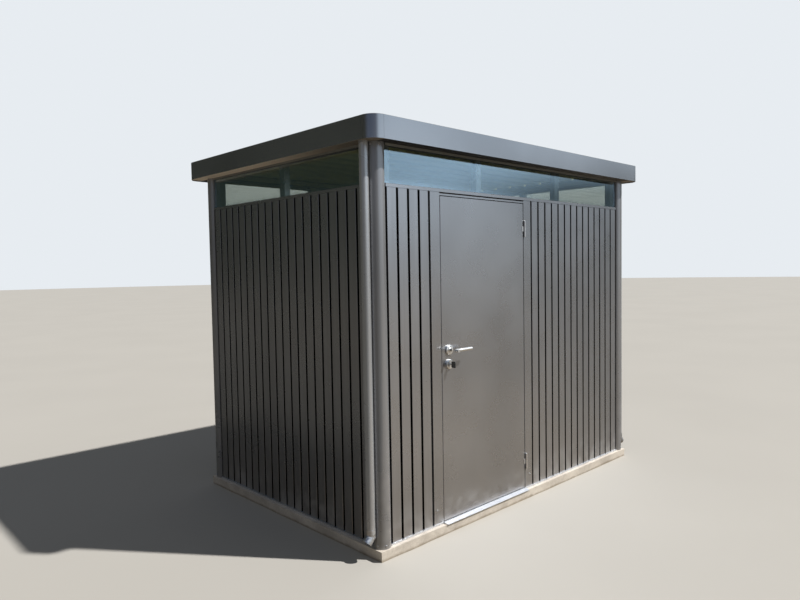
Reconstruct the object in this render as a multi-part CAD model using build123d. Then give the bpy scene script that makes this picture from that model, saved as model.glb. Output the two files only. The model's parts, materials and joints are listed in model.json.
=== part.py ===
"""Metal tool shed with a glazed strip under a flat roof, on a low concrete plinth.

Millimetres, +Z up. The origin is at ground level under the middle of the roof.
The door is in the front wall, which faces -Y. Every piece is its own solid.
"""
from build123d import *
from dataclasses import dataclass
import math
import os

# Wall grid
rib_pitch = 80.0            # distance between two grooves of the wall sheets
front_pitches = 30          # pitches along the front and back walls
side_pitches = 20           # pitches along the side walls
corner_reach = 71.0         # from a wall's end to the middle of its first groove
groove_width = 15.0
groove_depth = 18.0
rib_edge = 1.5              # bevel on each edge of a rib
sheet = 1.5                 # thickness of the wall and roof sheets
panel_pitches = 10          # pitches in one wall panel, where a wall isn't cut by the door
wall_height = 1867.0        # height of the ribbed sheets

# Seats
seat = 0.3                  # clearance between pieces that lie on each other
moving_gap = 5.0            # clearance around the door leaf

# Plinth and base rails
plinth_height = 55.0
plinth_overhang = 28.0
plinth_edge = 4.0
base_rail_height = 10.0
base_rail_nose = 4.0
base_upstand = 36.0
angle_thickness = 2.5       # wall of the folded and extruded frame profiles

# Glazing
sill_height = 17.0
sill_nose = 2.5
sill_depth = 66.0
glass_height = 193.0        # pane height that shows between sill and head
glass_thickness = 4.0
glass_setback = 6.5
glass_rebate = 8.0
glazing_start = 70.0        # from a wall's end to the ends of sill, glass and head
head_height = 12.0
mullion_width = 50.0
mullion_depth = 40.0
mullion_setback = 24.0
mullion_wall = 2.5
front_bays = 3              # glazing bays along the front and back
side_bays = 2

# Corner posts
post_radius = 46.0
post_centre = 28.0          # from both wall faces to the middle of the post's round
post_wall = 2.5
post_flange = 115.0         # from a wall's end to the inner edge of the post's flange

# Roof
roof_overhang = 104.0
fascia_height = 119.0
fascia_wall = 3.0
fascia_edge = 1.5
fascia_return = 20.0
soffit_recess = 8.0
tray_width = 189.0          # width of the gutter tray that carries the fascia
tray_upstand = 37.0
roof_corner_radius = 75.0
roof_pitch = 155.0
roof_pitches = 10
roof_flat = 60.0
roof_crest = 58.0
roof_rib_depth = 35.0
roof_lap = 25.0             # the roof sheet's reach over the gutter at each end

# Door
pitches_left_of_door = 4    # rib pitches from the left post's groove to the door frame
door_pitches = 12           # rib pitches that the door frame takes
jamb_width = 76.0
jamb_flange = 26.0          # reach of a jamb behind the ribbed sheet
leaf_thickness = 40.0
leaf_skin = 1.5
leaf_edge = 3.0
head_gap = 8.0
head_strip = 10.0
frame_depth = 48.0
frame_stop = 16.0
stop_thickness = 3.0
threshold_reach = 34.0
threshold_drop = 7.5
stop_rise = 16.0

# Hinges
hinge_outset = 6.5          # axis in front of the wall face
hinge_side = 9.5            # axis beyond the leaf's edge
hinge_radius = 6.0
hinge_pin_radius = 3.0
hinge_pin_clearance = 0.08
hinge_length = 100.0
hinge_knuckle_gap = 1.0
hinge_plate_width = 12.0
hinge_plate_thickness = 2.0
hinge_low = 170.0           # from the leaf's bottom to the lower hinge's middle
hinge_high = 159.0          # from the leaf's top to the upper hinge's middle

# Handle and lock
backset = 57.0
handle_height = 974.0       # from the leaf's bottom to the spindle
lock_drop = 82.0
rosette_radius = 28.0
rosette_thickness = 10.0
rosette_edge = 3.0
neck_radius = 9.0
neck_length = 58.0
lever_length = 135.0
spindle_radius = 4.0
spindle_hole_radius = 9.0
running_clearance = 0.08
plug_radius = 8.5
plug_proud = 2.0
key_blade_length = 8.0
key_blade_height = 8.0
key_blade_thickness = 2.5
bow_height = 36.0
bow_depth = 31.0
bow_thickness = 6.0

# Downpipes
pipe_radius = 24.0
pipe_wall = 2.0
pipe_outset = 45.0          # pipe axis outside the side wall's face
pipe_back = 35.0            # pipe axis behind the front wall's face
pipe_bottom = 91.0          # above the plinth
shoe_lap = 22.0
shoe_wall = 2.0
shoe_angle = 45.0
shoe_drop = 16.5            # from the pipe's end down to the shoe's mitre
shoe_run = 42.5

# Worked out
wall_width = front_pitches * rib_pitch + 2 * corner_reach
wall_depth = side_pitches * rib_pitch + 2 * corner_reach
roof_width = wall_width + 2 * roof_overhang
roof_depth = wall_depth + 2 * roof_overhang
post_reach = corner_reach - groove_width / 2
flange_front = groove_depth + sheet + seat
flange_back = flange_front + angle_thickness
rail_depth = flange_front - seat

rib_bottom = plinth_height + base_rail_height
rib_top = rib_bottom + wall_height
sill_top = rib_top + sill_height
head_bottom = sill_top + glass_height
soffit = head_bottom + head_height
fascia_bottom = soffit - soffit_recess
fascia_top = fascia_bottom + fascia_height
tray_floor = soffit + fascia_wall
roof_sheet_bottom = tray_floor + tray_upstand

door_last_pitch = pitches_left_of_door + door_pitches
left_jamb_start = corner_reach + pitches_left_of_door * rib_pitch + groove_width / 2
left_jamb_edge = left_jamb_start + jamb_width
door_start = left_jamb_edge + moving_gap
right_jamb_end = corner_reach + door_last_pitch * rib_pitch - groove_width / 2
right_jamb_edge = right_jamb_end - jamb_width
door_end = right_jamb_edge - moving_gap
leaf_bottom = rib_bottom + moving_gap
head_strip_bottom = rib_top - head_gap - head_strip
leaf_top = head_strip_bottom - moving_gap


@dataclass(frozen=True)
class Wall:
    """One wall face: s runs along it, v runs inward from the rib faces, z is up."""
    name: str
    start: tuple
    along: tuple
    inward: tuple
    length: float

    def point(self, s, v, z):
        return (self.start[0] + s * self.along[0] + v * self.inward[0],
                self.start[1] + s * self.along[1] + v * self.inward[1], z)


half_width = wall_width / 2
half_depth = wall_depth / 2
front = Wall("front", (-half_width, -half_depth), (1, 0), (0, 1), wall_width)
back = Wall("back", (-half_width, half_depth), (1, 0), (0, -1), wall_width)
left = Wall("left", (-half_width, -half_depth), (0, 1), (1, 0), wall_depth)
right = Wall("right", (half_width, -half_depth), (0, 1), (-1, 0), wall_depth)
walls = (front, back, left, right)

# Corner name: x side, y side, turn of a profile drawn for the front left corner
corners = {"front_left": (-1, -1, 0), "front_right": (1, -1, 90),
           "back_right": (1, 1, 180), "back_left": (-1, 1, 270)}


def upright(wall, outline, bottom, top):
    """Prism with an (s, v) outline that stands from bottom to top."""
    points = [wall.point(s, v, bottom) for s, v in outline]
    face = make_face(Polyline(*points, close=True))
    return extrude(face, amount=top - bottom, dir=(0, 0, 1))


def rail(wall, section, start, end):
    """Bar with a (v, z) section that runs along the wall from start to end."""
    points = [wall.point(start, v, z) for v, z in section]
    face = make_face(Polyline(*points, close=True))
    return extrude(face, amount=end - start, dir=(*wall.along, 0))


def block(wall, s0, s1, v0, v1, z0, z1):
    """Box between two places along the wall, two depths and two heights."""
    return upright(wall, [(s0, v0), (s1, v0), (s1, v1), (s0, v1)], z0, z1)


def bar_section(v0, v1, z0, z1):
    return [(v0, z0), (v1, z0), (v1, z1), (v0, z1)]


def ribbed_outline(first, last):
    """Closed (s, v) outline of a folded sheet from groove first to groove last."""
    half = groove_width / 2
    floor = groove_depth
    back_face = floor + sheet
    grooves = [corner_reach + number * rib_pitch for number in range(first, last + 1)]
    outer = [(grooves[0] + seat / 2, floor)]
    inner = [(grooves[0] + seat / 2, back_face)]
    for groove, next_groove in zip(grooves, grooves[1:]):
        rib_start, rib_end = groove + half, next_groove - half
        outer += [(rib_start, floor), (rib_start, rib_edge), (rib_start + rib_edge, 0),
                  (rib_end - rib_edge, 0), (rib_end, rib_edge), (rib_end, floor)]
        inner += [(rib_start + sheet, back_face), (rib_start + sheet, sheet),
                  (rib_end - sheet, sheet), (rib_end - sheet, back_face)]
    outer.append((grooves[-1] - seat / 2, floor))
    inner.append((grooves[-1] - seat / 2, back_face))
    return outer + inner[::-1]


def wall_panels(wall, first, last):
    """Sheets side by side from groove first to groove last, with seams in grooves."""
    starts = range(first, last, panel_pitches)
    return [upright(wall, ribbed_outline(start, min(start + panel_pitches, last)),
                    rib_bottom + seat, rib_top - seat)
            for start in starts]


def make_plinth():
    """Concrete slab that is also the floor."""
    slab = Pos(0, 0, plinth_height / 2) * Box(
        wall_width + 2 * plinth_overhang, wall_depth + 2 * plinth_overhang, plinth_height)
    upper = slab.edges().group_by(Axis.Z)[-1]
    corner_edges = slab.edges().filter_by(Axis.Z)
    return chamfer(upper + corner_edges, plinth_edge)


def base_rail(wall, start, end, foot_start, foot_end):
    """Bar under the ribbed sheets with an upstand behind them, between two flanges."""
    low = plinth_height + seat
    nose = rail(wall, bar_section(-base_rail_nose, rail_depth, low, rib_bottom), start, end)
    foot = [(0, low), (flange_back, low), (flange_back, low + base_upstand),
            (flange_front, low + base_upstand), (flange_front, rib_bottom), (0, rib_bottom)]
    return nose + rail(wall, foot, foot_start + seat, foot_end - seat)


def base_rails():
    """Rails under every wall, with a gap at the door."""
    near_post, near_flange = post_reach + seat, post_flange
    rails = [
        base_rail(front, near_post, left_jamb_edge,
                  near_flange, left_jamb_start - jamb_flange),
        base_rail(front, right_jamb_edge, wall_width - near_post,
                  right_jamb_end + jamb_flange, wall_width - near_flange)]
    for wall in (back, left, right):
        rails.append(base_rail(wall, near_post, wall.length - near_post,
                               near_flange, wall.length - near_flange))
    return rails


def post_profile():
    """Round section that stands out at the corner, with a flange behind each wall sheet."""
    size = 2 * post_reach
    middle = Pos(post_centre, post_centre)
    ring = middle * (Circle(post_radius) - Circle(post_radius - post_wall))
    outside = Pos(post_reach, post_reach) * Rectangle(size, size, align=(Align.MAX, Align.MAX))
    inside = middle * Rectangle(size, size, align=(Align.MIN, Align.MIN))
    profile = (ring & outside) - inside
    edge = post_centre - math.sqrt(post_radius ** 2 - (post_reach - post_centre) ** 2)
    web = [(post_reach - post_wall, edge), (post_reach, edge),
           (post_reach, flange_front), (post_flange, flange_front),
           (post_flange, flange_back), (post_reach - post_wall, flange_back)]
    mirrored_web = [(v, u) for u, v in web]
    for points in (web, mirrored_web):
        profile += make_face(Polyline(*points, close=True))
    return profile


def corner_post(x_side, y_side, turn):
    """Rounded post from the plinth to the soffit at one corner."""
    low = plinth_height + seat
    post = extrude(post_profile(), amount=soffit - seat - low)
    return Pos(x_side * half_width, y_side * half_depth, low) * Rot(0, 0, turn) * post


def glazing_rail(wall, low, high, depth, slot_low, slot_high):
    """Bar above or below the glass, with a slot for the pane's edge."""
    front_bar = rail(wall, bar_section(-sill_nose, rail_depth, low, high),
                     glazing_start, wall.length - glazing_start)
    if depth > rail_depth:
        front_bar += rail(wall, bar_section(0, depth, low, high),
                          post_flange + seat, wall.length - post_flange - seat)
    slot = rail(wall, bar_section(glass_setback - seat, glass_setback + glass_thickness + seat,
                                  slot_low, slot_high), 0, wall.length)
    return front_bar - slot


def sill_rail(wall):
    return glazing_rail(wall, rib_top, sill_top, sill_depth,
                        sill_top - glass_rebate, sill_top + seat)


def head_rail(wall):
    return glazing_rail(wall, head_bottom, soffit - seat, rail_depth,
                        head_bottom - seat, head_bottom + glass_rebate)


def pane(wall):
    """One sheet of glazing between sill and head."""
    return block(wall, glazing_start, wall.length - glazing_start,
                 glass_setback, glass_setback + glass_thickness,
                 sill_top - glass_rebate + seat, head_bottom + glass_rebate - seat)


def mullions(wall, bays):
    """Square tubes behind the glass between the glazing bays."""
    tubes = []
    for number in range(1, bays):
        middle = wall.length * number / bays
        s0, s1 = middle - mullion_width / 2, middle + mullion_width / 2
        v0, v1 = mullion_setback, mullion_setback + mullion_depth
        low, high = sill_top + seat, soffit - seat
        skin = mullion_wall
        tube = block(wall, s0, s1, v0, v1, low, high)
        tube -= block(wall, s0 + skin, s1 - skin, v0 + skin, v1 - skin, low, high)
        tubes.append(tube)
    return tubes


def door_jamb(opening_edge, outer_edge):
    """Upright frame piece from its face's outer edge to the door opening."""
    side = math.copysign(1, opening_edge - outer_edge)
    skin = angle_thickness
    stop = opening_edge + side * frame_stop
    reach = outer_edge - side * jamb_flange
    outline = [
        (reach, flange_front), (outer_edge, flange_front), (outer_edge, 0), (opening_edge, 0),
        (opening_edge, frame_depth - stop_thickness), (stop, frame_depth - stop_thickness),
        (stop, frame_depth), (opening_edge - side * skin, frame_depth),
        (opening_edge - side * skin, skin), (outer_edge + side * skin, skin),
        (outer_edge + side * skin, flange_back), (reach, flange_back)]
    return upright(front, outline, rib_bottom + seat, rib_top - seat)


def between_jambs(section):
    """Bar across the doorway, cut back where the jambs' stops stand."""
    bar = rail(front, section, left_jamb_edge + seat, right_jamb_edge - seat)
    for near, far in ((left_jamb_edge, left_jamb_edge + frame_stop + seat),
                      (right_jamb_edge - frame_stop - seat, right_jamb_edge)):
        bar -= block(front, near, far, frame_depth - stop_thickness - seat,
                     frame_depth + seat, plinth_height, rib_top)
    return bar


def door_head():
    """Frame piece over the leaf: a front strip, a dark recess over it and a stop."""
    skin = angle_thickness
    low = head_strip_bottom
    section = [
        (0, low), (frame_depth - stop_thickness, low),
        (frame_depth - stop_thickness, low - frame_stop), (frame_depth, low - frame_stop),
        (frame_depth, rib_top - seat), (frame_depth - skin, rib_top - seat),
        (frame_depth - skin, low + skin), (skin, low + skin),
        (skin, low + head_strip), (0, low + head_strip)]
    return between_jambs(section)


def door_threshold():
    """Sloped metal sill with a stop behind the leaf's lower edge."""
    low = plinth_height + seat
    back_edge = frame_depth
    section = [
        (-threshold_reach, low), (back_edge, low), (back_edge, rib_bottom + stop_rise),
        (back_edge - stop_thickness, rib_bottom + stop_rise),
        (back_edge - stop_thickness, rib_bottom), (-base_rail_nose, rib_bottom),
        (-threshold_reach, rib_bottom - threshold_drop)]
    return between_jambs(section)


def across(s, v0, v1, z, radius):
    """Cylinder through the front wall's depth, from v0 to v1."""
    middle = front.point(s, (v0 + v1) / 2, z)
    return Pos(*middle) * Rot(90, 0, 0) * Cylinder(radius, v1 - v0)


spindle_place = door_start + backset
spindle_height = leaf_bottom + handle_height
lock_height = spindle_height - lock_drop


def door_leaf():
    """Flush double-skinned leaf with rounded front edges and a hole for the spindle."""
    skin = leaf_skin
    leaf = block(front, door_start, door_end, 0, leaf_thickness, leaf_bottom, leaf_top)
    front_edges = leaf.edges().filter_by(Axis.Z).group_by(Axis.Y)[0]
    leaf = fillet(front_edges, leaf_edge)
    leaf -= block(front, door_start + leaf_edge, door_end - leaf_edge,
                  skin, leaf_thickness - skin, leaf_bottom + leaf_edge, leaf_top - leaf_edge)
    return leaf - across(spindle_place, -1, leaf_thickness + 1, spindle_height,
                         spindle_hole_radius)


def rosette(height, bore_radius, inside):
    """Round cover plate on one face of the leaf, with a bore."""
    gap = seat if inside else -seat
    face_place = leaf_thickness if inside else 0
    outer_place = face_place + gap + math.copysign(rosette_thickness, gap)
    v0, v1 = sorted((face_place + gap, outer_place))
    plate = across(spindle_place, v0, v1, height, rosette_radius)
    rim = plate.edges().group_by(Axis.Y)[-1 if inside else 0]
    plate = chamfer(rim, rosette_edge)
    if bore_radius:
        plate -= across(spindle_place, v0 - 1, v1 + 1, height, bore_radius)
    return plate


def rosettes():
    """Cover plates of the handle and the lock, outside and inside."""
    neck_bore = neck_radius + running_clearance
    plug_bore = plug_radius + running_clearance
    return [rosette(spindle_height, neck_bore, False), rosette(spindle_height, neck_bore, True),
            rosette(lock_height, plug_bore, False), rosette(lock_height, None, True)]


def lever(inside):
    """Round lever, mitred at its neck, that points towards the hinges."""
    sign = 1 if inside else -1
    face_place = leaf_thickness if inside else 0
    base = front.point(spindle_place, face_place + sign * 2 * seat, spindle_height)
    corner = front.point(spindle_place, face_place + sign * neck_length, spindle_height)
    tip = (corner[0] + lever_length, corner[1], corner[2])
    section = Plane(origin=base, z_dir=(0, sign, 0)) * Circle(neck_radius)
    return sweep(section, path=Polyline(base, corner, tip), transition=Transition.RIGHT)


def door_handle():
    """Outer and inner lever on one spindle."""
    handle = across(spindle_place, -1, leaf_thickness + 1, spindle_height, spindle_radius)
    handle += lever(False)
    handle += lever(True)
    return handle


def lock_plug():
    """Turning plug of the lock with the key's blade in it."""
    plug = across(spindle_place, -rosette_thickness - plug_proud, -2 * seat, lock_height,
                  plug_radius)
    blade = block(front, spindle_place - key_blade_thickness / 2,
                  spindle_place + key_blade_thickness / 2,
                  -rosette_thickness - plug_proud - key_blade_length, -rosette_thickness,
                  lock_height - key_blade_height / 2, lock_height + key_blade_height / 2)
    return plug + blade


def key_bow():
    """Flat upright head of the key."""
    near = -rosette_thickness - plug_proud - key_blade_length - seat
    middle = near - bow_depth / 2
    outline = Rot(0, 90, 0) * RectangleRounded(bow_height, bow_depth, bow_depth / 3)
    place = front.point(spindle_place - bow_thickness / 2, middle, lock_height)
    return Pos(*place) * extrude(outline, amount=bow_thickness, dir=(1, 0, 0))


hinge_place = door_end + hinge_side
knuckle_length = (hinge_length - 2 * hinge_knuckle_gap) / 3
hinge_heights = (leaf_bottom + hinge_low, leaf_top - hinge_high)


def barrel(low, high, radius):
    """Part of a hinge's barrel on the door's axis."""
    place = front.point(hinge_place, -hinge_outset, (low + high) / 2)
    return Pos(*place) * Cylinder(radius, high - low)


def frame_knuckles(middle):
    """Jamb half of a hinge: plate, upper and lower knuckle, and the pin."""
    low, high = middle - hinge_length / 2, middle + hinge_length / 2
    plate = block(front, hinge_place, hinge_place + hinge_plate_width,
                  -seat - hinge_plate_thickness, -seat, low, high)
    inner_low = low + knuckle_length
    inner_high = high - knuckle_length
    plate -= barrel(inner_low, inner_high, hinge_radius + hinge_knuckle_gap)
    half = barrel(low, inner_low, hinge_radius) + barrel(inner_high, high, hinge_radius)
    return half + barrel(low, high, hinge_pin_radius) + plate


def leaf_knuckle(middle):
    """Leaf half of a hinge: plate and middle knuckle."""
    low = middle - knuckle_length / 2
    high = middle + knuckle_length / 2
    plate = block(front, hinge_place - hinge_plate_width - hinge_side, hinge_place,
                  -seat - hinge_plate_thickness, -seat, low, high)
    knuckle = barrel(low, high, hinge_radius) + plate
    return knuckle - barrel(low, high, hinge_pin_radius + hinge_pin_clearance)


def tray_section(width):
    """(p, z) section of the roof edge, p inward from the fascia's face, up to width."""
    edge = fascia_edge
    section = [
        (edge, fascia_bottom), (fascia_wall, fascia_bottom), (fascia_wall, soffit),
        (width, soffit)]
    if width > roof_corner_radius:
        section += [(width, roof_sheet_bottom - seat),
                    (width - fascia_wall, roof_sheet_bottom - seat),
                    (width - fascia_wall, tray_floor)]
    else:
        section.append((width, tray_floor))
    section += [
        (fascia_wall, tray_floor), (fascia_wall, fascia_top - fascia_wall),
        (fascia_return, fascia_top - fascia_wall), (fascia_return, fascia_top),
        (edge, fascia_top), (0, fascia_top - edge), (0, fascia_bottom + edge)]
    return section


def roof_edge(wall):
    """Fascia with its gutter tray along one side, mitred into its neighbours."""
    section = [(p - roof_overhang, z) for p, z in tray_section(tray_width)]
    start, end = -roof_overhang, wall.length + roof_overhang
    radius, width = roof_corner_radius, tray_width
    gap = seat
    keep = [
        (start + radius + gap, start), (end - radius - gap, start),
        (end - radius - gap, start + radius), (end - width - gap, start + width),
        (start + width + gap, start + width), (start + radius + gap, start + radius)]
    region = upright(wall, keep, fascia_bottom, fascia_top)
    return rail(wall, section, start, end) & region


def roof_corner(x_side, y_side, turn):
    """Rounded cap where two roof edges meet."""
    radius = roof_corner_radius
    points = [(p, 0, z) for p, z in tray_section(radius)]
    face = make_face(Polyline(*points, close=True))
    axis = Axis((radius, 0, 0), (0, 0, 1))
    cap = Pos(0, radius, 0) * revolve(face, axis=axis, revolution_arc=90)
    place = Pos(x_side * roof_width / 2, y_side * roof_depth / 2, 0)
    return place * Rot(0, 0, turn) * cap


def roof_sheet():
    """Trapezoidal sheet whose ribs run from side to side, laid on the tray walls."""
    slope = (roof_pitch - roof_flat - roof_crest) / 2
    length = roof_width - 2 * tray_width + 2 * roof_lap
    width = roof_pitches * roof_pitch + roof_flat
    low, high = roof_sheet_bottom, roof_sheet_bottom + roof_rib_depth
    under, over = [], []
    y = -width / 2
    for _ in range(roof_pitches):
        crest = y + roof_flat + slope
        under += [(y, low), (y + roof_flat, low), (crest, high), (crest + roof_crest, high)]
        over += [(y, low + sheet), (y + roof_flat - sheet / 2, low + sheet),
                 (crest - sheet / 2, high + sheet),
                 (crest + roof_crest + sheet / 2, high + sheet),
                 (crest + roof_crest + slope + sheet / 2, low + sheet)]
        y += roof_pitch
    under += [(y, low), (y + roof_flat, low)]
    over.append((y + roof_flat, low + sheet))
    outline = [(-length / 2, place, z) for place, z in under + over[::-1]]
    face = make_face(Polyline(*outline, close=True))
    return extrude(face, amount=length, dir=(1, 0, 0))


pipe_x = half_width + pipe_outset
pipe_y = -half_depth + pipe_back
pipe_low = plinth_height + pipe_bottom


def downpipe(side):
    """Round pipe from the gutter tray's outlet down a front corner."""
    height = soffit - seat - pipe_low
    tube = Cylinder(pipe_radius, height) - Cylinder(pipe_radius - pipe_wall, height)
    return Pos(side * pipe_x, pipe_y, pipe_low + height / 2) * tube


def shoe(side):
    """Socket and slanted outlet, which meet in a mitre and throw the water away from the wall."""
    top = pipe_low + shoe_lap
    bore = pipe_radius + seat
    slant = math.radians(shoe_angle)
    mitre = (0, 0, pipe_low - shoe_drop)
    tip = (side * shoe_run * math.sin(slant), 0, mitre[2] - shoe_run * math.cos(slant))
    path = Polyline((0, 0, top), mitre, tip)
    plane = Plane(origin=(0, 0, top), z_dir=(0, 0, -1))
    solid = sweep(plane * Circle(bore + shoe_wall), path=path, transition=Transition.RIGHT)
    hollow = sweep(plane * Circle(bore), path=path, transition=Transition.RIGHT)
    joint = Plane(origin=mitre, z_dir=(side * math.sin(slant), 0, -1 - math.cos(slant)))
    halves = [split(solid - hollow, bisect_by=joint, keep=keep) for keep in (Keep.BOTTOM, Keep.TOP)]
    return [Pos(side * pipe_x, pipe_y, 0) * half for half in halves]


def outlet_hole(side):
    """Hole in the gutter tray over a downpipe."""
    depth = 4 * fascia_wall
    return Pos(side * pipe_x, pipe_y, soffit) * Cylinder(pipe_radius - pipe_wall, depth)


def all_nodes():
    """Every node with its list of solids."""
    nodes = {"plinth": [make_plinth()]}
    nodes["base_rails"] = base_rails()
    nodes["door_threshold"] = [door_threshold()]
    for name, place in corners.items():
        nodes[f"corner_post_{name}"] = [corner_post(*place)]
    nodes["wall_front_left"] = wall_panels(front, 0, pitches_left_of_door)
    nodes["wall_front_right"] = wall_panels(front, door_last_pitch, front_pitches)
    nodes["wall_back"] = wall_panels(back, 0, front_pitches)
    nodes["wall_left"] = wall_panels(left, 0, side_pitches)
    nodes["wall_right"] = wall_panels(right, 0, side_pitches)
    nodes["mullions"] = []
    for wall in walls:
        nodes[f"sill_rail_{wall.name}"] = [sill_rail(wall)]
        nodes[f"head_rail_{wall.name}"] = [head_rail(wall)]
        nodes[f"glass_{wall.name}"] = [pane(wall)]
        bays = front_bays if wall in (front, back) else side_bays
        nodes["mullions"] += mullions(wall, bays)
        nodes[f"roof_edge_{wall.name}"] = [roof_edge(wall)]
    for side, name in ((-1, "left"), (1, "right")):
        nodes[f"roof_edge_{name}"] = [nodes[f"roof_edge_{name}"][0] - outlet_hole(side)]
    nodes["roof_corners"] = [roof_corner(*place) for place in corners.values()]
    nodes["roof_sheet"] = [roof_sheet()]
    nodes["downpipes"] = [downpipe(-1), downpipe(1)]
    shoes = [shoe(-1), shoe(1)]
    nodes["shoe_sockets"] = [socket for socket, outlet in shoes]
    nodes["shoe_outlets"] = [outlet for socket, outlet in shoes]
    nodes["door_jamb_left"] = [door_jamb(left_jamb_edge, left_jamb_start)]
    nodes["door_jamb_right"] = [door_jamb(right_jamb_edge, right_jamb_end)]
    nodes["door_head"] = [door_head()]
    nodes["door_leaf"] = [door_leaf()]
    nodes["hinge_frame_halves"] = [frame_knuckles(height) for height in hinge_heights]
    nodes["hinge_leaf_halves"] = [leaf_knuckle(height) for height in hinge_heights]
    nodes["rosettes"] = rosettes()
    nodes["door_handle"] = [door_handle()]
    nodes["lock_plug"] = [lock_plug()]
    nodes["key_bow"] = [key_bow()]
    return nodes


os.makedirs("parts", exist_ok=True)
for node, solids in all_nodes().items():
    pieces = [solid for shape in solids for solid in shape.solids()]
    export_step(Compound(children=pieces), f"parts/{node}.step")
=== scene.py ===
"""Looks of the metal tool shed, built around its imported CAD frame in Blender."""

import json
import logging
import math
from dataclasses import dataclass, field
from enum import Enum
from functools import cached_property
from itertools import product

import bmesh
import bpy
from mathutils import Matrix, Vector, noise

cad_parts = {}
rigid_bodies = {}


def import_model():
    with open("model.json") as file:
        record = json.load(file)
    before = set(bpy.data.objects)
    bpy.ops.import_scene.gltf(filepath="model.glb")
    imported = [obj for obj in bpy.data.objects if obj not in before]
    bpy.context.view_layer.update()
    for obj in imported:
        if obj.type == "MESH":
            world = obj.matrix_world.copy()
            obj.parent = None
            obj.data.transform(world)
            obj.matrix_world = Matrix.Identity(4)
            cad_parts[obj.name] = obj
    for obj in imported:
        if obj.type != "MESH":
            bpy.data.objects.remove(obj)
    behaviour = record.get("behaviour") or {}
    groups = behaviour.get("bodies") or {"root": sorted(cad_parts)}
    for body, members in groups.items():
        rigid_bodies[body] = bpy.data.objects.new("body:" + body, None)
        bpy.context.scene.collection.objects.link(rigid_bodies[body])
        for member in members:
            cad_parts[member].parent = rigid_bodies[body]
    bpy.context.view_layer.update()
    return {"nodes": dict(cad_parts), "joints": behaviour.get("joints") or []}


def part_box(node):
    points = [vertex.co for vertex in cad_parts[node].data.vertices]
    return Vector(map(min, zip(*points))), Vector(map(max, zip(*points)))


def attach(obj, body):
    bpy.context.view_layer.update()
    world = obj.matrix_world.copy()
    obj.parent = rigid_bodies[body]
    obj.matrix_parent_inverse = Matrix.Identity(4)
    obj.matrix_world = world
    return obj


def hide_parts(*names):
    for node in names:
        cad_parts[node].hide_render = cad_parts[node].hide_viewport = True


for leftover in list(bpy.data.objects):
    bpy.data.objects.remove(leftover)
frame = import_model()

log = logging.getLogger("tool_shed")
Point = tuple[float, float, float]
Colour = tuple[float, float, float]
SIDE_FACE = 1.271  # metres from the middle to the side walls' faces
FRONT_FACE = 0.871  # the same to the faces of the front and the back wall
ROUND = 40  # faces around a round bar or a collar


class Side(Enum):
    """The four walls, each with the axis that it runs along and the sign of its outward side."""

    FRONT = ("X", -1.0)
    BACK = ("X", 1.0)
    LEFT = ("Y", -1.0)
    RIGHT = ("Y", 1.0)


class Signal:
    """One output of a node tree, on which Python arithmetic adds Math nodes."""

    def __init__(self, recipe: "Recipe", socket: bpy.types.NodeSocket) -> None:
        """Keep the socket and the recipe that it belongs to."""
        self.recipe = recipe
        self.socket = socket

    def _math(self, operation: str, *values: "Signal | float") -> "Signal":
        """Result of one Math node on the values, in order."""
        return self.recipe.node("ShaderNodeMath", {"operation": operation}, dict(enumerate(values)))

    def __add__(self, other: "Signal | float") -> "Signal":
        """Sum."""
        return self._math("ADD", self, other)

    __radd__ = __add__

    def __sub__(self, other: "Signal | float") -> "Signal":
        """Difference."""
        return self._math("SUBTRACT", self, other)

    def __rsub__(self, other: "Signal | float") -> "Signal":
        """Difference with the signal on the right."""
        return self._math("SUBTRACT", other, self)

    def __mul__(self, other: "Signal | float") -> "Signal":
        """Product."""
        return self._math("MULTIPLY", self, other)

    __rmul__ = __mul__

    def __pow__(self, other: "Signal | float") -> "Signal":
        """Power."""
        return self._math("POWER", self, other)

    def __mod__(self, other: "Signal | float") -> "Signal":
        """Remainder that stays positive."""
        return self._math("FLOORED_MODULO", self, other)

    def __abs__(self) -> "Signal":
        """Size without its sign."""
        return self._math("ABSOLUTE", self)

    def ramp(self, low: float, high: float, start: float = 0.0, end: float = 1.0) -> "Signal":
        """Ease from start to end while the signal goes from low to high.

        Args:
            low: Signal at which the result is start.
            high: Signal at which the result is end.
            start: Result below low.
            end: Result above high.

        Returns:
            The eased signal.
        """
        return self.recipe.node("ShaderNodeMapRange", {"interpolation_type": "SMOOTHSTEP"},
                                {"Value": self, "From Min": low, "From Max": high,
                                 "To Min": start, "To Max": end})


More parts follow.
